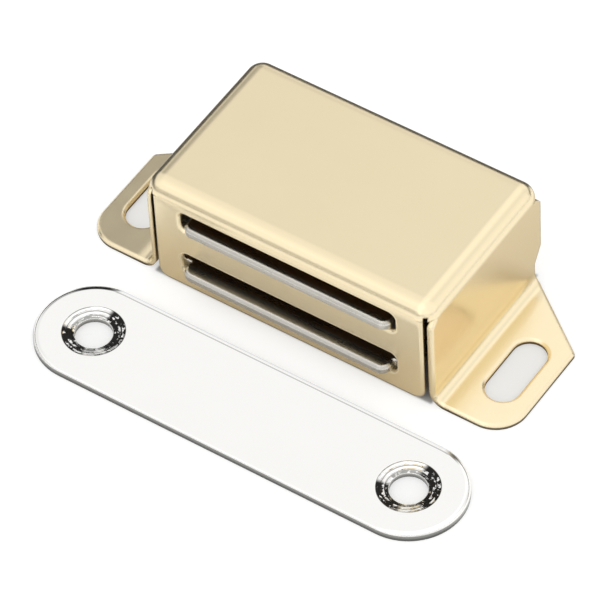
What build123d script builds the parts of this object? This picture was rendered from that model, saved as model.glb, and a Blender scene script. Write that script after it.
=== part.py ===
"""Magnetic cabinet catch with its strike plate, in millimetres.

The catch is a folded sheet case with two screw ears. A magnet lies inside between two steel
pole plates, whose tongues look out through slots in the front flap. The pack floats in those
slots, so that it can line up with the strike plate, which is screwed to the door.

+X runs along the catch, +Y towards its back, +Z away from the face it is screwed to. The origin
is on that face, midway between the two screw slots.
"""
from build123d import *
import os

# Sheet and folds
sheet = 0.7
bend_inside = 1.3
edge_break = 0.3  # bevel on the outer side of each cut edge, where the punch and the tumbling rolled it over

# Case
case_length = 38.6
case_depth = 23.2
case_height = 15.8
corner_round = 2.1  # the top's corners, seen from above
screw_line_offset = 2.5  # the case's middle lies this far behind the line through the screw slots

# Flaps, folded down at the front and at the back
flap_side_gap = 0.5
flap_floor_gap = 0.25
flap_corner = 1.5
slit_rise = 0.6  # the slits beside a flap run this far up into its bend
wall_setback = 0.4  # the end walls stop this far short of the flaps' outer faces
wall_shoulder = 0.8  # how much of an end wall's upper corners is cut away under its bend

# Screw ears, folded out from the end walls
ear_reach = 9.6
ear_front_corner = 4.0
ear_rear_corner = 0.6
ear_tip_rear = 5.6  # where the ear's outer side ends, behind the screw line
ear_neck_rear = 12.4  # rear edge of the ear where it leaves the end wall
ear_neck_width = 0.7  # length of that rear edge before it slants forward
neck_top = 5.65  # the end wall narrows to the ear's neck between these two heights
neck_bottom = 3.5
screw_slot_width = 4.2
screw_slot_length = 9.7
screw_slot_inset = 5.3  # from the end wall's outer face to the slot's middle

# Pole plates and the slots that carry them
plate_thickness = 1.3
plate_bevel = 0.3  # of the tongues' long edges
plate_width = 33.0
plate_corner = 1.0
tongue_width = 27.8
tongue_corner = 1.2
rear_tongue_width = 20.0
farthest_out = 1.3  # how far a tongue can stand out of the front flap
plate_play = 1.0  # how far a pole plate can slide in and out
upper_plate_in = 0.7  # how far the upper plate is pushed in from its farthest place
slot_height = 2.9
slot_corner = 0.8
slot_end_clearance = 0.05
lower_slot_bottom = 3.0

# Magnet
magnet_length = 30.0
magnet_depth = 17.0
magnet_thickness = 5.6
magnet_edge = 0.4

# Strike plate
strike_length = 56.5
strike_width = 13.7
strike_thickness = 1.0
strike_round = 0.3
strike_hole_spacing = 42.6
strike_hole = 4.4
countersink_width = 7.4
countersink_depth = 0.4
strike_apart = 4.7  # from the case's front to the strike plate as it lies
strike_shift = 2.3  # sideways

# Worked out from the sizes above
bend_outside = bend_inside + sheet
bend_line = case_height - bend_outside
wall_outer = case_length / 2
wall_inner = wall_outer - sheet
flap_half = wall_inner - flap_side_gap
case_front = screw_line_offset - case_depth / 2
case_rear = screw_line_offset + case_depth / 2
wall_front = case_front + wall_setback
wall_rear = case_rear - wall_setback
ear_tip = wall_outer + ear_reach
upper_slot_bottom = lower_slot_bottom + plate_thickness + magnet_thickness
slot_end_room = slot_corner - plate_bevel + slot_end_clearance
beyond = 1.0  # cutting tools run this far past what they cut


def block(x_span, y_span, z_span):
    """Box between two values along each axis."""
    spans = (x_span, y_span, z_span)
    sizes = [abs(high - low) for low, high in spans]
    middles = [(low + high) / 2 for low, high in spans]
    return Pos(*middles) * Box(*sizes)


def both_ends(shape):
    """A shape together with its mirror image across the catch's middle."""
    return shape + mirror(shape, about=Plane.YZ)


def folded_box(length, depth, height, radius, corner):
    """Box standing on the mounting face, with rounded corners in plan and rounded top edges."""
    body = extrude(Pos(0, screw_line_offset) * RectangleRounded(length, depth, corner), height)
    return fillet(body.faces().sort_by(Axis.Z)[-1].edges(), radius)


def flap(outer_face, inward):
    """Flat flap below its bend, with rounded lower corners and broken outer edges."""
    inner_face = outer_face + inward * sheet
    shape = block((-flap_half, flap_half), (outer_face, inner_face), (flap_floor_gap, bend_line))
    lower_corners = shape.edges().filter_by(Axis.Y).group_by(Axis.Z)[0]
    shape = fillet(lower_corners, flap_corner)
    outside = shape.faces().filter_by(Axis.Y).sort_by(Axis.Y)[0 if inward > 0 else -1]
    cut_edges = outside.edges().sort_by(Axis.Z)[:-1]
    return chamfer(cut_edges, edge_break)


def flap_slits(outer_face, inward):
    """The slits beside a flap, where they run up into its bend."""
    depth = sheet + slit_rise
    y_span = (outer_face - inward * beyond, outer_face + inward * depth)
    return both_ends(block((flap_half, wall_inner), y_span, (bend_line - beyond, bend_line + slit_rise)))


def plate_slots(outer_face, inward, plate_end):
    """The upper and lower slot of one flap, sized for a pole plate's tongue."""
    length = plate_end + 2 * slot_end_room
    profile = RectangleRounded(length, slot_height, slot_corner)
    start = Plane.XZ.offset(-outer_face - inward * sheet)
    slots = []
    for bottom in (lower_slot_bottom, upper_slot_bottom):
        centred = start * Pos(0, bottom + slot_height / 2) * profile
        slots.append(extrude(centred, beyond + sheet, both=True))
    return slots


def folded_shell():
    """Top with the bends all round it, and the two flaps with their slots."""
    inner_length = case_length - 2 * sheet
    inner_depth = case_depth - 2 * sheet
    shell = folded_box(case_length, case_depth, case_height, bend_outside, corner_round)
    shell -= folded_box(inner_length, inner_depth, case_height - sheet, bend_inside, corner_round - sheet)
    shell -= block((-wall_outer, wall_outer), (case_front, case_rear), (0, bend_line))
    for outer_face, inward, plate_end in ((case_front, 1, tongue_width), (case_rear, -1, rear_tongue_width)):
        shell += flap(outer_face, inward)
        shell -= flap_slits(outer_face, inward)
        shell -= plate_slots(outer_face, inward, plate_end)
    for end in (0, -1):
        flap_face = shell.faces().filter_by(Axis.Y).sort_by(Axis.Y)[end]
        slot_rims = [edge for wire in flap_face.inner_wires() for edge in wire.edges()]
        shell = chamfer(slot_rims, edge_break)
    return shell


def wall_section():
    """Section through an end wall, the bend at its foot and the ear, drawn in X and Z."""
    section = make_face(
        Polyline(
            (wall_inner, bend_line),
            (wall_inner, 0),
            (ear_tip, 0),
            (ear_tip, sheet),
            (wall_outer, sheet),
            (wall_outer, bend_line),
            close=True,
        )
    )
    underside = section.vertices().sort_by_distance((wall_inner, 0))[0]
    section = fillet(underside, bend_outside)
    inside = section.vertices().sort_by_distance((wall_outer, sheet))[0]
    return fillet(inside, bend_inside)


def wall_plan():
    """Outline of the end wall and its ear seen from above, with the screw slot."""
    neck_side = wall_outer + ear_neck_width
    plan = make_face(
        Polyline(
            (wall_inner, wall_front),
            (ear_tip, wall_front),
            (ear_tip, ear_tip_rear),
            (neck_side, ear_neck_rear),
            (neck_side, wall_rear),
            (wall_inner, wall_rear),
            close=True,
        )
    )
    front = plan.vertices().sort_by_distance((ear_tip, wall_front))[0]
    plan = fillet(front, ear_front_corner)
    rear = plan.vertices().sort_by_distance((ear_tip, ear_tip_rear))[0]
    plan = fillet(rear, ear_rear_corner)
    slot = SlotOverall(screw_slot_length, screw_slot_width, rotation=90)
    return plan - Pos(wall_outer + screw_slot_inset, 0) * slot


def wall_side():
    """Outline of the end wall seen from its end: sloping shoulders above, the ear's neck at the rear."""
    outline = make_face(
        Polyline(
            (wall_front, 0),
            (wall_front, bend_line - wall_shoulder),
            (wall_front + wall_shoulder, bend_line),
            (wall_rear - wall_shoulder, bend_line),
            (wall_rear, bend_line - wall_shoulder),
            (wall_rear, neck_top),
            (ear_neck_rear, neck_bottom),
            (ear_neck_rear, 0),
            close=True,
        )
    )
    at_shoulders = [v for v in outline.vertices() if abs(v.Y - bend_line + wall_shoulder) < wall_shoulder / 2]
    outline = fillet(at_shoulders, wall_shoulder / 2)
    return extrude(Plane.YZ.offset(wall_inner) * outline, ear_tip - wall_inner)


def end_wall():
    """Right-hand end wall with its ear, its cut edges broken on the outer side."""
    strip = extrude(Plane.XZ.offset(-wall_rear) * wall_section(), wall_rear - wall_front)
    wall = strip & extrude(wall_plan(), bend_line) & wall_side()
    ear_top = wall.faces().filter_by(Axis.Z).group_by(Axis.Z)[1]
    cut_edges = ear_top.edges().sort_by(Axis.X)[1:]
    return chamfer(cut_edges, edge_break)


def make_case():
    """The whole case: one piece of folded sheet."""
    return folded_shell() + both_ends(end_wall())


def flat_plate(width, y_span, corner):
    """Flat steel plate with rounded corners, lying on z = 0."""
    plate = block((-width / 2, width / 2), y_span, (0, plate_thickness))
    return fillet(plate.edges().filter_by(Axis.Z), corner)


def tongue(width, y_span):
    """Plate whose edges above and below are bevelled as well."""
    plate = flat_plate(width, y_span, tongue_corner)
    return chamfer(plate.faces().filter_by(Axis.Z).edges(), plate_bevel)


def make_pole_plate(pushed_in, bottom):
    """Steel plate with a tongue at each end; its shoulders stay inside the case."""
    front_shoulder = case_front + sheet + pushed_in
    rear_shoulder = front_shoulder + case_depth - 2 * sheet - plate_play
    middle = (front_shoulder + rear_shoulder) / 2
    front_tip = front_shoulder - sheet - farthest_out
    rear_tip = rear_shoulder + sheet + plate_play
    plate = flat_plate(plate_width, (front_shoulder, rear_shoulder), plate_corner)
    plate += tongue(tongue_width, (front_tip, middle))
    plate += tongue(rear_tongue_width, (middle, rear_tip))
    return Pos(0, 0, bottom) * plate


def make_magnet():
    """Ferrite block held between the pole plates by its own pull."""
    magnet = Box(magnet_length, magnet_depth, magnet_thickness)
    magnet = chamfer(magnet.edges().filter_by(Axis.Z), magnet_edge)
    middle = lower_slot_bottom + plate_thickness + magnet_thickness / 2
    return Pos(0, screw_line_offset, middle) * magnet


def make_strike_plate():
    """Flat round-ended plate with two countersunk screw holes."""
    plate = extrude(SlotOverall(strike_length, strike_width), strike_thickness)
    plate = fillet(plate.faces().sort_by(Axis.Z)[-1].edges(), strike_round)
    cone = Cone(strike_hole / 2, countersink_width / 2, countersink_depth)
    drill = Cylinder(strike_hole / 2, 2 * strike_thickness)
    hole = drill + Pos(0, 0, strike_thickness - countersink_depth / 2) * cone
    for side in (-1, 1):
        plate -= Pos(side * strike_hole_spacing / 2, 0, 0) * hole
    middle = case_front - strike_apart - strike_width / 2
    return Pos(strike_shift, middle, 0) * plate


os.makedirs("parts", exist_ok=True)
nodes = {
    "case": make_case(),
    "upper_pole_plate": make_pole_plate(upper_plate_in, upper_slot_bottom),
    "lower_pole_plate": make_pole_plate(0.0, lower_slot_bottom),
    "magnet": make_magnet(),
    "strike_plate": make_strike_plate(),
}
for name, shape in nodes.items():
    export_step(shape, f"parts/{name}.step")
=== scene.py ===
import math

import bpy
from mathutils import Matrix, Vector


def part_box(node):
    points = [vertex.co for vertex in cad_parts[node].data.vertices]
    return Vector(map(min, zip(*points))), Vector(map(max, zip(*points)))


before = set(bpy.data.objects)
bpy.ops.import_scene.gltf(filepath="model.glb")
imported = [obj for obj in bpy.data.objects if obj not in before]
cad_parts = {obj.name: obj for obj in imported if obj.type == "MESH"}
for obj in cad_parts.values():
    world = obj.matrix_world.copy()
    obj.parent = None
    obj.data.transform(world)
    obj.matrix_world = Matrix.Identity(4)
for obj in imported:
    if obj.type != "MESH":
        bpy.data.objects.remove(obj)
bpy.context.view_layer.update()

# ---------------------------------------------------------------- sizes, in metres
MM = 0.001

SHEET_TOP = 0.7 * MM
EAR_FOOT = 20.6 * MM  # where the bend at the foot of a wall runs out into the ear
EAR_SLOT_X = 24.6 * MM
FRONT_SLOT_HALF_LENGTH = 14.45 * MM
FRONT_SLOT_HALF_HEIGHT = 1.45 * MM
FRONT_SLOT_CORNER = 0.8 * MM
LOWER_SLOT_Z = 4.45 * MM
UPPER_SLOT_Z = 11.35 * MM
STRIKE_HOLE_X = 21.3 * MM  # from the strike plate's middle
COUNTERSINK_RADIUS = 3.7 * MM
HOLE_RADIUS = 2.2 * MM
RING_PITCH = 0.52 * MM  # of the turned rings in the countersinks

case_low, case_high = (Vector(corner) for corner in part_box("case"))
case_middle = (case_low + case_high) / 2
strike_low, strike_high = (Vector(corner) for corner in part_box("strike_plate"))
strike_middle = (strike_low + strike_high) / 2
strike_half = (strike_high - strike_low) / 2

# ---------------------------------------------------------------- how far a face leans in its reflections
RIGHT_EAR_LEAN = (0.10, -0.02, 0.0)
LEFT_EAR_LEAN = (-0.10, 0.12, 0.0)
FLAP_LEAN = (0.0, 0.0, -0.15)
LIP_LEAN = (0.0, 0.0, 0.38)
STRIKE_LEAN = (0.0, -0.19, 0.0)
REAR_EDGE_LEAN = (0.0, -0.80, 0.0)

# ---------------------------------------------------------------- directions
DARK_REFLECTION_FRONT = (-0.509, -0.861, 0.0)  # from a hole's middle to the middle of each painted dark reflection
DARK_REFLECTION_RIGHT = (0.872, 0.491, 0.0)
DARK_RIM_SIDE = (-0.26, 0.966, 0.0)  # from an end's middle to the middle of its painted dark reflection
LIT_WALL = (0.995, -0.10, 0.0)
DARK_CORNER = (-0.623, 0.623, 0.473)

# ---------------------------------------------------------------- colours
GOLD_DEEP = (0.875, 0.750, 0.505, 1.0)
GOLD_PALE = (0.900, 0.776, 0.532, 1.0)
# the cut face is darkened with painted shade, and its foot carries a painted contact shadow
GOLD_CUT_SHADED = (0.46, 0.39, 0.26, 1.0)
GOLD_FOOT_SHADOW = (0.13, 0.105, 0.07, 1.0)
STEEL_DARK = (0.43, 0.41, 0.37, 1.0)
STEEL_LIGHT = (0.51, 0.49, 0.45, 1.0)
# burnished edges, brightened with a painted highlight where their rounding catches the light
STEEL_BURNISHED_HIGHLIGHT = (0.88, 0.86, 0.82, 1.0)
# painted brown reflection of the gold case, and its shade, on the plate tops within the case
STEEL_CASE_REFLECTION = (0.50, 0.32, 0.17, 1.0)
FERRITE_DARK = (0.030, 0.029, 0.030, 1.0)
FERRITE_LIGHT = (0.055, 0.052, 0.050, 1.0)
NICKEL_DARK = (0.905, 0.897, 0.876, 1.0)
NICKEL_LIGHT = (0.925, 0.917, 0.898, 1.0)
# painted shade on the strike plate's sides, and a painted shadow along their foot
NICKEL_SIDE_SHADE = (0.42, 0.415, 0.40, 1.0)
NICKEL_FOOT_SHADOW = (0.22, 0.217, 0.21, 1.0)
NICKEL_RING = (0.34, 0.337, 0.325, 1.0)
# painted dark reflection in the countersinks
NICKEL_DARK_REFLECTION = (0.022, 0.021, 0.020, 1.0)
# painted dark reflection round the rear of each rolled rim end
NICKEL_RIM_REFLECTION = (0.030, 0.030, 0.029, 1.0)
# painted reflections along the strike plate's straight rear edge
NICKEL_EDGE_REFLECTION = (0.70, 0.72, 0.75, 1.0)
NICKEL_LINE_REFLECTION = (0.55, 0.547, 0.535, 1.0)
WHITE = (1.0, 1.0, 1.0, 1.0)
PAPER = (0.80, 0.80, 0.80, 1.0)
PAPER_SEEN = (0.50, 0.50, 0.495, 1.0)
PAPER_MIRRORED = (0.75, 0.75, 0.745, 1.0)
# painted shade and warm painted light on the floor as metal mirrors it
PAPER_SHADED_WARM = (0.70, 0.655, 0.575, 1.0)
PAPER_NOOK_SHADE = (0.56, 0.50, 0.40, 1.0)
PAPER_SLOT_GOLD_BOUNCE = (0.90, 0.74, 0.50, 1.0)
# painted shade on the floor as metal mirrors it
FLOOR_SHADE_DEEP = (0.10, 0.10, 0.10, 1.0)
FLOOR_SHADE_SOFT = (0.30, 0.30, 0.30, 1.0)

# ---------------------------------------------------------------- sky and camera
SKY_BY_HEIGHT = [  # pairs of height and brightness
    (0.0, 0.02), (0.10, 0.02), (0.23, 0.90), (0.35, 0.94), (0.77, 0.94), (0.86, 1.02), (1.0, 1.02),
]
CAMERA_PLACE = (0.240075, -0.331950, 0.474708)
CAMERA_AZIMUTH, CAMERA_ELEVATION, CAMERA_ROLL = 36.431, 49.326, -3.5  # degrees
CAMERA_LENS = 329.57  # mm, on a 36 mm sensor
FLOOR_HALF = 3.0


# ---------------------------------------------------------------- node helpers
class Nodes:
    """Thin wrapper round a node tree: adds nodes and links them by socket."""

    def __init__(self, tree):
        self.tree = tree
        tree.nodes.clear()

    def add(self, kind, **settings):
        node = self.tree.nodes.new(kind)
        for name, value in settings.items():
            setattr(node, name, value)
        return node

    def feed(self, value, socket):
        """Links the socket to another node's output, or sets it to a plain value."""
        if hasattr(value, "is_output"):
            self.tree.links.new(value, socket)
        else:
            socket.default_value = value

    def math(self, operation, *values):
        node = self.add("ShaderNodeMath", operation=operation)
        for i, value in enumerate(values):
            self.feed(value, node.inputs[i])
        return node.outputs[0]

    def product(self, first, *others):
        for other in others:
            first = self.math("MULTIPLY", first, other)
        return first

    def largest(self, first, *others):
        for other in others:
            first = self.math("MAXIMUM", first, other)
        return first

    def plus(self, base, mask, amount):
        """base + mask * amount."""
        return self.math("MULTIPLY_ADD", mask, amount, base)

    def apart(self, a, b):
        """Distance between two numbers."""
        return self.math("ABSOLUTE", self.math("SUBTRACT", a, b))

    def reach(self, a, b):
        """Length of the vector (a, b)."""
        return self.math("SQRT", self.math("ADD", self.product(a, a), self.product(b, b)))

    def vector(self, operation, *values):
        node = self.add("ShaderNodeVectorMath", operation=operation)
        for i, value in enumerate(values):
            self.feed(value, node.inputs[i])
        return node.outputs["Value" if operation == "DOT_PRODUCT" else "Vector"]

    def scaled(self, vector, factor):
        node = self.add("ShaderNodeVectorMath", operation="SCALE")
        self.feed(vector, node.inputs[0])
        self.feed(factor, node.inputs["Scale"])
        return node.outputs[0]

    def along(self, vector, direction):
        """How far a unit vector points along a unit direction, from -1 to 1."""
        return self.vector("DOT_PRODUCT", vector, direction)

    def direction(self, a, b):
        """Unit vector along (a, b, 0)."""
        node = self.add("ShaderNodeCombineXYZ")
        self.feed(a, node.inputs[0])
        self.feed(b, node.inputs[1])
        return self.vector("NORMALIZE", node.outputs[0])

    def split(self, vector):
        node = self.add("ShaderNodeSeparateXYZ")
        self.feed(vector, node.inputs[0])
        return node.outputs[0], node.outputs[1], node.outputs[2]

    def ramp(self, value, low, high, out_low=0.0, out_high=1.0):
        """Smooth step from out_low at low to out_high at high; low may be the larger of the two."""
        node = self.add("ShaderNodeMapRange", interpolation_type="SMOOTHSTEP")
        for name, number in (("From Min", low), ("From Max", high),
                             ("To Min", out_low), ("To Max", out_high)):
            node.inputs[name].default_value = number
        self.feed(value, node.inputs["Value"])
        return node.outputs["Result"]

    def curve(self, value, points):
        """Number that runs through the given (value, result) points."""
        node = self.add("ShaderNodeFloatCurve")
        line = node.mapping.curves[0]
        for at, result in points[1:-1]:
            line.points.new(at, result)
        line.points[0].location = points[0]
        line.points[-1].location = points[-1]
        node.mapping.use_clip = False
        node.mapping.update()
        self.feed(value, node.inputs["Value"])
        return node.outputs[0]

    def mix(self, factor, a, b):
        """Colour a where factor is 0 and b where it is 1."""
        node = self.add("ShaderNodeMix", data_type="RGBA")
        self.feed(factor, node.inputs[0])
        self.feed(a, node.inputs[6])
        self.feed(b, node.inputs[7])
        return node.outputs[2]

    def noise(self, where, scale, detail=2.0, rough=0.5, stretch=None):
        """Noise between 0 and 1 with features about 1 / scale metres across."""
        if stretch is not None:
            where = self.vector("MULTIPLY", where, stretch)
        node = self.add("ShaderNodeTexNoise")
        self.feed(where, node.inputs["Vector"])
        node.inputs["Scale"].default_value = scale
        node.inputs["Detail"].default_value = detail
        node.inputs["Roughness"].default_value = rough
        return node.outputs[0]

    def position(self):
        return self.add("ShaderNodeTexCoord").outputs["Object"]

    def facing(self):
        """The flat surface's own direction, before any bump."""
        return self.add("ShaderNodeNewGeometry").outputs["True Normal"]

    def soft_edges(self, radius):
        """Normal that rounds sharp edges off by the radius."""
        node = self.add("ShaderNodeBevel", samples=6)
        self.feed(radius, node.inputs["Radius"])
        return node.outputs["Normal"]

    def leaning(self, normal, *leans):
        """Normal with (mask, offset) leans added, so that a flat face mirrors as if it were tilted."""
        for mask, offset in leans:
            normal = self.vector("ADD", normal, self.scaled(offset, mask))
        return self.vector("NORMALIZE", normal)

    def bump(self, height, distance, strength, normal):
        node = self.add("ShaderNodeBump")
        node.inputs["Distance"].default_value = distance
        node.inputs["Strength"].default_value = strength
        self.feed(height, node.inputs["Height"])
        self.feed(normal, node.inputs["Normal"])
        return node.outputs["Normal"]

    def finish(self, kind, shader_output):
        """Ends the tree in an output node of the given kind."""
        self.feed(shader_output, self.add(kind).inputs["Surface"])

    def surface(self, colour, roughness, normal, metallic=1.0):
        shader = self.add("ShaderNodeBsdfPrincipled")
        shader.inputs["Metallic"].default_value = metallic
        self.feed(colour, shader.inputs["Base Color"])
        self.feed(roughness, shader.inputs["Roughness"])
        self.feed(normal, shader.inputs["Normal"])
        self.finish("ShaderNodeOutputMaterial", shader.outputs[0])
        return shader


def new_material(name):
    material = bpy.data.materials.new(name)
    material.use_nodes = True
    return material, Nodes(material.node_tree)


def dress(node, material):
    """Puts a material in every slot of a CAD node."""
    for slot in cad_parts[node].material_slots:
        slot.material = material


# ---------------------------------------------------------------- materials
def gold_plating():
    """Pale brass plating on smooth rolled sheet."""
    material, n = new_material("gold_plating")
    where = n.position()
    x, _, z = n.split(where)
    _, face_y, face_z = n.split(n.facing())
    cloud = n.noise(where, 90.0, 3.0)
    haze = n.noise(where, 420.0, 4.0, 0.65)

    # sheared edge: the vertical cut round the ears, rougher and darkened with painted shade, and torn along
    # its foot, where a near-black painted shadow lies
    upright = n.ramp(n.math("ABSOLUTE", face_z), 0.55, 0.25)
    cut = n.product(upright, n.ramp(z, SHEET_TOP + 0.05 * MM, SHEET_TOP - 0.05 * MM))
    torn_and_shaded_foot = n.product(cut, n.ramp(z, 0.42 * MM, 0.22 * MM))
    tone = n.mix(cloud, GOLD_DEEP, GOLD_PALE)
    tone = n.mix(cut, tone, GOLD_CUT_SHADED)
    tone = n.mix(torn_and_shaded_foot, tone, GOLD_FOOT_SHADOW)
    rough = n.plus(0.19, haze, 0.10)
    rough = n.plus(rough, cut, 0.15)
    rough = n.plus(rough, torn_and_shaded_foot, 0.20)

    # lips that the punch drew up round the front slots
    front_face = n.ramp(face_y, -0.97, -0.999)
    past_x = n.math("SUBTRACT", n.math("ABSOLUTE", x), FRONT_SLOT_HALF_LENGTH - FRONT_SLOT_CORNER)
    from_middle = n.math("MINIMUM", n.apart(z, LOWER_SLOT_Z), n.apart(z, UPPER_SLOT_Z))
    past_z = n.math("SUBTRACT", from_middle, FRONT_SLOT_HALF_HEIGHT - FRONT_SLOT_CORNER)
    past_both = n.reach(n.largest(past_x, 0.0), n.largest(past_z, 0.0))
    off_slot = n.math("SUBTRACT", past_both, FRONT_SLOT_CORNER)
    lip = n.product(n.ramp(off_slot, 0.50 * MM, 0.28 * MM), front_face)

    # the ears, the front flap and the lips mirror as if they were tilted, and the mesh stays as it is
    right_ear = n.ramp(x, EAR_FOOT, EAR_FOOT + 1.5 * MM)
    left_ear = n.ramp(x, -EAR_FOOT, -EAR_FOOT - 1.5 * MM)
    flap = n.product(front_face, n.ramp(z, 14.2 * MM, 12.6 * MM), n.math("SUBTRACT", 1.0, lip))
    leans = (right_ear, RIGHT_EAR_LEAN), (left_ear, LEFT_EAR_LEAN), (flap, FLAP_LEAN), (lip, LIP_LEAN)
    edge_radius = n.plus(0.33 * MM, lip, -0.23 * MM)
    normal = n.leaning(n.soft_edges(edge_radius), *leans)

    peel = n.noise(where, 700.0, 2.0)
    grain = n.noise(where, 2600.0, 3.0, 0.6)
    tears = n.noise(where, 1500.0, 3.0, 0.6, stretch=(1.0, 1.0, 0.25))
    normal = n.bump(peel, 0.004 * MM, 0.35, normal)
    normal = n.bump(grain, 0.0009 * MM, 0.5, normal)
    normal = n.bump(n.product(tears, torn_and_shaded_foot), 0.03 * MM, 0.6, normal)
    n.surface(tone, rough, normal)
    return material


def pole_steel():
    """Bright-rolled steel of the pole plates, burnished on the edges and brightened there with a painted
    highlight, with a painted brown reflection of the gold case and its shade on the tops within the case.
    """
    material, n = new_material("pole_steel")
    where = n.position()
    facing = n.facing()
    _, y, _ = n.split(where)
    _, _, face_z = n.split(facing)
    lines = n.noise(where, 900.0, 3.0, 0.6, stretch=(0.12, 1.0, 1.0))
    cloud = n.noise(where, 160.0, 3.0)
    rounded = n.soft_edges(0.35 * MM)
    # the rounded edges are burnished and carry a painted highlight
    edge = n.ramp(n.along(rounded, facing), 0.985, 0.93)
    # painted reflection and shade: the tops within the case turn brown where they mirror the gold case
    painted_case_reflection = n.product(n.ramp(y, case_low.y - 0.1 * MM, case_low.y + 0.5 * MM), n.ramp(face_z, 0.8, 0.95))
    tone = n.mix(cloud, STEEL_DARK, STEEL_LIGHT)
    tone = n.mix(painted_case_reflection, tone, STEEL_CASE_REFLECTION)
    tone = n.mix(edge, tone, STEEL_BURNISHED_HIGHLIGHT)
    n.surface(tone, n.plus(0.20, lines, 0.16), n.bump(lines, 0.003 * MM, 0.6, rounded))
    return material


def ferrite():
    """Pressed and sintered ferrite: charcoal, dry and finely grained."""
    material, n = new_material("ferrite")
    where = n.position()
    grain = n.noise(where, 5200.0, 4.0, 0.7)
    cloud = n.noise(where, 240.0, 3.0)
    tone = n.mix(cloud, FERRITE_DARK, FERRITE_LIGHT)
    normal = n.bump(grain, 0.02 * MM, 0.5, n.soft_edges(0.15 * MM))
    shader = n.surface(tone, n.plus(0.55, grain, 0.2), normal, metallic=0.0)
    shader.inputs["IOR"].default_value = 1.7
    return material


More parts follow.
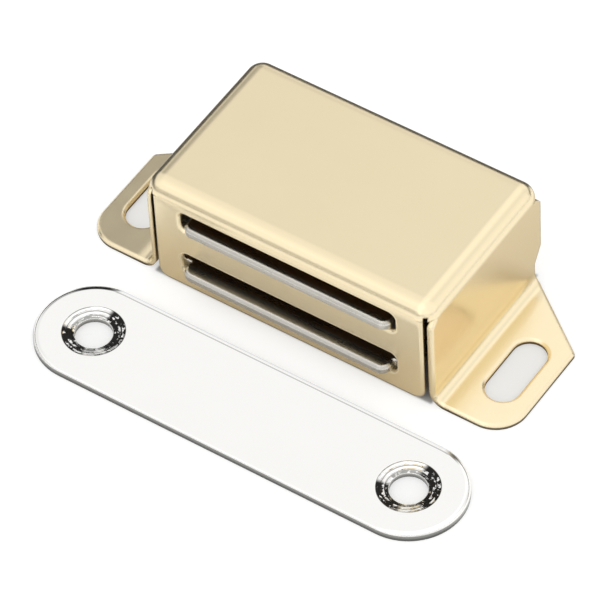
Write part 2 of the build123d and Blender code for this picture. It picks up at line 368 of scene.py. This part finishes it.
def bright_plating():
    """Nickel plating, polished to a mirror on the strike plate's face, over a rough-turned countersink."""
    material, n = new_material("bright_plating")
    where = n.position()
    x, y, z = n.split(where)
    _, _, face_z = n.split(n.facing())
    top_face = n.ramp(face_z, 0.30, 0.60)
    haze = n.noise(where, 300.0, 4.0, 0.6)

    # the sides are rougher, and greyer with painted shade; a painted shadow darkens them most along the foot
    side = n.ramp(n.math("ABSOLUTE", face_z), 0.35, 0.15)
    tone = n.mix(haze, NICKEL_DARK, NICKEL_LIGHT)
    tone = n.mix(side, tone, NICKEL_SIDE_SHADE)
    tone = n.mix(n.product(side, n.ramp(z, 0.55 * MM, 0.25 * MM)), tone, NICKEL_FOOT_SHADOW)
    rough = n.plus(0.035, haze, 0.04)
    rough = n.plus(rough, side, 0.22)

    # place on the plate: from its middle, and from the nearer hole's middle
    from_middle = n.math("SUBTRACT", x, strike_middle.x)
    half_length = n.math("ABSOLUTE", from_middle)
    end = n.math("SIGN", from_middle)  # -1 in the left half and 1 in the right half
    across = n.math("SUBTRACT", y, strike_middle.y)
    past_hole = n.math("SUBTRACT", half_length, STRIKE_HOLE_X)
    from_hole = n.reach(past_hole, across)

    # countersinks: broken turned rings
    cone = n.product(n.ramp(from_hole, COUNTERSINK_RADIUS + 0.04 * MM, COUNTERSINK_RADIUS - 0.08 * MM),
                     n.ramp(from_hole, HOLE_RADIUS, HOLE_RADIUS + 0.10 * MM))
    chatter = n.noise(where, 700.0, 2.0)
    wave = n.math("SINE", n.plus(n.product(from_hole, 2 * math.pi / RING_PITCH), chatter, 2.6))
    patches = n.ramp(n.noise(where, 1100.0, 2.0), 0.30, 0.62, 0.2, 1.0)
    rings = n.product(wave, patches, cone)
    near_hole = n.product(n.ramp(from_hole, 2.85 * MM, 2.55 * MM),
                          n.ramp(n.noise(where, 2000.0, 3.0), 0.38, 0.55))
    line = n.largest(n.ramp(wave, 0.55, 0.95), near_hole)
    tone = n.mix(n.product(line, cone), tone, NICKEL_RING)

    # countersinks: painted dark reflections, mottled, on two sides
    heading = n.direction(n.product(past_hole, end), across)
    front_side = n.ramp(n.along(heading, DARK_REFLECTION_FRONT), 0.66, 0.80)
    right_side = n.ramp(n.along(heading, DARK_REFLECTION_RIGHT), 0.42, 0.60)
    mottle = n.largest(n.ramp(n.noise(where, 1700.0, 3.0, 0.6), 0.40, 0.47), n.ramp(wave, 0.3, 0.8))
    painted_dark_reflection = n.product(n.largest(front_side, right_side), mottle, cone)
    tone = n.mix(painted_dark_reflection, tone, NICKEL_DARK_REFLECTION)
    rough = n.plus(rough, painted_dark_reflection, 0.30)

    # the top's rim is rolled over at the round ends, with a painted dark reflection round the rear of each
    past_straight = n.largest(n.math("SUBTRACT", half_length, strike_half.x - strike_half.y), 0.0)
    from_rim = n.math("SUBTRACT", strike_half.y, n.reach(past_straight, across))
    outward = n.direction(n.product(past_straight, end), across)
    at_ends = n.ramp(past_straight, 0.3 * MM, 2.2 * MM)
    roll = n.product(n.ramp(from_rim, 0.75 * MM, 0.10 * MM, 0.0, 0.80), at_ends, top_face)
    rearward = n.ramp(n.along(outward, DARK_RIM_SIDE), 0.70, 0.90)
    painted_rim_reflection = n.product(n.ramp(from_rim, 0.66 * MM, 0.54 * MM), rearward, at_ends, top_face)

    # two fine grey painted reflections along the straight rear edge
    rear = n.product(n.ramp(at_ends, 0.6, 0.2), top_face, n.ramp(across, 0.0, 1.0 * MM))
    edge_reflection_line = n.product(n.ramp(from_rim, 0.34 * MM, 0.18 * MM), rear)
    inner_reflection_line = n.product(n.ramp(n.apart(from_rim, 0.62 * MM), 0.12 * MM, 0.04 * MM), rear)
    tone = n.mix(edge_reflection_line, tone, NICKEL_EDGE_REFLECTION)
    tone = n.mix(inner_reflection_line, tone, NICKEL_LINE_REFLECTION)
    tone = n.mix(painted_rim_reflection, tone, NICKEL_RIM_REFLECTION)

    # the flat face mirrors the studio over the case and not the case itself
    at_rim = n.product(n.ramp(from_rim, 0.85 * MM, 0.45 * MM), at_ends)
    face = n.largest(n.math("SUBTRACT", n.ramp(face_z, 0.995, 0.9999), at_rim), 0.0)
    normal = n.vector("ADD", n.soft_edges(0.24 * MM), n.scaled(outward, roll))
    normal = n.leaning(normal, (face, STRIKE_LEAN), (edge_reflection_line, REAR_EDGE_LEAN))
    normal = n.bump(n.noise(where, 120.0, 1.0), 0.010 * MM, 0.35, normal)
    normal = n.bump(rings, 0.035 * MM, 1.0, normal)
    normal = n.bump(n.noise(where, 1800.0, 3.0, 0.6), 0.0006 * MM, 0.4, normal)
    n.surface(tone, rough, normal)
    return material


dress("case", gold_plating())
steel = pole_steel()
dress("upper_pole_plate", steel)
dress("lower_pole_plate", steel)
dress("magnet", ferrite())
dress("strike_plate", bright_plating())


# ---------------------------------------------------------------- studio
def pale_floor():
    """White paper that burns out to white in the open, and that metal mirrors with painted shade and painted
    warm light in places.
    """
    material, n = new_material("studio_floor")
    ray = n.add("ShaderNodeLightPath")
    camera_ray, glossy_ray = ray.outputs["Is Camera Ray"], ray.outputs["Is Glossy Ray"]
    x, y, _ = n.split(n.add("ShaderNodeNewGeometry").outputs["Position"])

    def inside(middle_x, middle_y, half_x, half_y, blend):
        """1 over a rectangle of floor, falling to 0 over the blend round it; all in millimetres."""
        over_x = n.ramp(n.apart(x, middle_x * MM), (half_x + blend) * MM, half_x * MM)
        over_y = n.ramp(n.apart(y, middle_y * MM), (half_y + blend) * MM, half_y * MM)
        return n.product(over_x, over_y)

    def matt(colour):
        sheet = n.add("ShaderNodeBsdfDiffuse")
        n.feed(colour, sheet.inputs["Color"])
        return sheet.outputs[0]

    def lit_paper(colour, strength):
        """Paper that is lifted towards white by its own strength."""
        lift = n.add("ShaderNodeEmission")
        lift.inputs["Color"].default_value = WHITE
        n.feed(strength, lift.inputs["Strength"])
        both = n.add("ShaderNodeAddShader")
        n.feed(matt(colour), both.inputs[0])
        n.feed(lift.outputs[0], both.inputs[1])
        return both.outputs[0]

    def blended(factor, first, second):
        mixed = n.add("ShaderNodeMixShader")
        for i, value in enumerate((factor, first, second)):
            n.feed(value, mixed.inputs[i])
        return mixed.outputs[0]

    # what the camera sees: little lift under the case and in the screw slots and holes
    covered = inside(0.0, case_middle.y / MM, 18.6, 11.0, 0.5)
    in_slots = n.largest(*(inside(side * EAR_SLOT_X / MM, 0.0, 2.3, 5.0, 0.8) for side in (1, -1)))
    off_hole = n.apart(n.apart(x, strike_middle.x), STRIKE_HOLE_X)
    off_middle = n.apart(y, strike_middle.y)
    in_holes = n.product(n.ramp(off_hole, 3.0 * MM, 2.3 * MM), n.ramp(off_middle, 3.0 * MM, 2.3 * MM))
    shade = n.largest(covered, n.product(in_slots, 0.42), n.product(in_holes, 0.25))
    seen = lit_paper(PAPER_SEEN, n.plus(0.56, shade, -0.55))

    # what metal shows: painted shade and warm painted light from the gold case in the gap in front of the
    # case and behind the right ear
    gap = inside(0.0, -5.0, 21.0, 6.0, 3.5)
    ear_back = n.product(inside(22.0, 22.0, 7.0, 16.0, 7.0), 0.9)
    nook = inside(22.0, 9.5, 1.5, 2.0, 3.0)
    mirrored_shade_and_warmth = n.largest(covered, gap, ear_back, nook)
    colour = n.mix(mirrored_shade_and_warmth, PAPER_MIRRORED, PAPER_SHADED_WARM)
    # painted deeper shade in the nook behind the right ear, and painted gold light in the ear slots
    colour = n.mix(nook, colour, PAPER_NOOK_SHADE)
    colour = n.mix(in_slots, colour, PAPER_SLOT_GOLD_BOUNCE)
    mirrored = lit_paper(colour, n.plus(0.30, n.largest(mirrored_shade_and_warmth, in_slots), -0.30))

    # painted shade that metal mirrors: far off to the left and behind, and as a contact shadow close in front
    # of the strike plate, the floor shows dark in metal
    left = n.math("MINIMUM", n.math("SUBTRACT", x, 60.0 * MM), 0.0)
    away = n.reach(left, n.math("ADD", y, 40.0 * MM))
    far = n.product(n.ramp(away, 110.0 * MM, 150.0 * MM), n.ramp(x, 50.0 * MM, 15.0 * MM))
    left_rear = n.product(n.ramp(x, -30.0 * MM, -40.0 * MM), n.ramp(y, -5.0 * MM, 5.0 * MM))
    behind = n.product(n.largest(left_rear, n.ramp(y, 18.0 * MM, 34.0 * MM)), n.ramp(x, 19.0 * MM, 10.0 * MM))
    middle, half = strike_middle / MM, strike_half / MM
    by_strike = inside(middle.x, middle.y, half.x + 0.8, half.y + 0.8, 1.5)
    by_strike = n.product(by_strike, n.ramp(y, -20.0 * MM, -24.0 * MM), 0.40)
    dim = matt(n.mix(n.ramp(y, -30.0 * MM, -90.0 * MM), FLOOR_SHADE_DEEP, FLOOR_SHADE_SOFT))
    mirrored = blended(n.largest(far, behind, by_strike), mirrored, dim)

    shown = blended(glossy_ray, seen, mirrored)
    n.finish("ShaderNodeOutputMaterial", blended(n.largest(camera_ray, glossy_ray), matt(PAPER), shown))
    return material


def lay_floor():
    """One square, just under the seating plane."""
    mesh = bpy.data.meshes.new("floor")
    corners = [(across * FLOOR_HALF, back * FLOOR_HALF, 0.0)
               for across, back in ((-1, -1), (1, -1), (1, 1), (-1, 1))]
    mesh.from_pydata(corners, [], [(0, 1, 2, 3)])
    floor = bpy.data.objects.new("floor", mesh)
    floor.location.z = -0.02 * MM
    bpy.context.scene.collection.objects.link(floor)
    mesh.materials.append(pale_floor())


def soft_sky():
    """Even white light from above, brighter in front and on the right, and a dark studio low down."""
    world = bpy.data.worlds.new("studio")
    world.use_nodes = True
    bpy.context.scene.world = world
    n = Nodes(world.node_tree)
    toward = n.add("ShaderNodeTexCoord").outputs["Generated"]
    x, y, z = n.split(toward)

    height = n.math("ADD", z, n.ramp(y, 0.0, -0.6, 0.0, 0.10))  # the dark ends lower in front
    front = n.ramp(y, 0.10, -0.70, 1.0, 1.22)
    right = n.product(n.ramp(x, -0.36, -0.16, 1.0, 1.20), n.ramp(x, 0.12, 0.36, 1.0, 0.88))
    light = n.product(n.curve(height, SKY_BY_HEIGHT), front, right)

    # a lit wall on the right, and a dark corner at the left rear
    rightness = n.math("DIVIDE", n.along(toward, LIT_WALL), n.reach(x, y))
    wall = n.product(n.ramp(rightness, 0.45, 0.70, 0.0, 1.15), n.ramp(z, 0.0, 0.06))
    corner = n.ramp(n.along(toward, DARK_CORNER), 0.958, 0.988, 1.0, 0.42)
    light = n.product(n.largest(light, wall), corner)

    # low in front on the left a dark flag over a white card, which the front fold shows as a fine line
    low_front = n.product(n.ramp(y, -0.60, -0.75), n.ramp(x, 0.0, -0.2))
    flag = n.product(n.ramp(n.apart(z, 0.170), 0.085, 0.035), low_front)
    card = n.product(n.ramp(z, 0.105, 0.065), low_front)
    light = n.largest(n.product(light, n.plus(1.0, flag, -0.70)), card)

    # never quite dark in front, and white wherever the camera looks past the floor
    glow = n.ramp(y, -0.3, -0.8, 0.0, 0.30)
    light = n.largest(light, glow, n.add("ShaderNodeLightPath").outputs["Is Camera Ray"])
    back = n.add("ShaderNodeBackground")
    back.inputs["Color"].default_value = WHITE
    n.feed(light, back.inputs["Strength"])
    n.finish("ShaderNodeOutputWorld", back.outputs[0])


def place_camera():
    """Long lens, looking down on the front right corner."""
    azimuth, elevation, roll = (math.radians(a) for a in (CAMERA_AZIMUTH, CAMERA_ELEVATION, CAMERA_ROLL))
    level = Vector((math.cos(azimuth), math.sin(azimuth), 0.0))
    back = Vector((math.sin(azimuth), -math.cos(azimuth), math.tan(elevation))) * math.cos(elevation)
    upright = back.cross(level)
    right = level * math.cos(roll) + upright * math.sin(roll)
    up = upright * math.cos(roll) - level * math.sin(roll)
    data = bpy.data.cameras.new("camera")
    data.lens = CAMERA_LENS
    data.sensor_width = 36.0
    data.clip_start = 0.01
    data.clip_end = 20.0
    camera = bpy.data.objects.new("camera", data)
    rotation = Matrix((right, up, back)).transposed().to_4x4()
    camera.matrix_world = Matrix.Translation(CAMERA_PLACE) @ rotation
    bpy.context.scene.collection.objects.link(camera)
    bpy.context.scene.camera = camera


lay_floor()
soft_sky()
place_camera()
bpy.context.scene.view_settings.view_transform = "Standard"
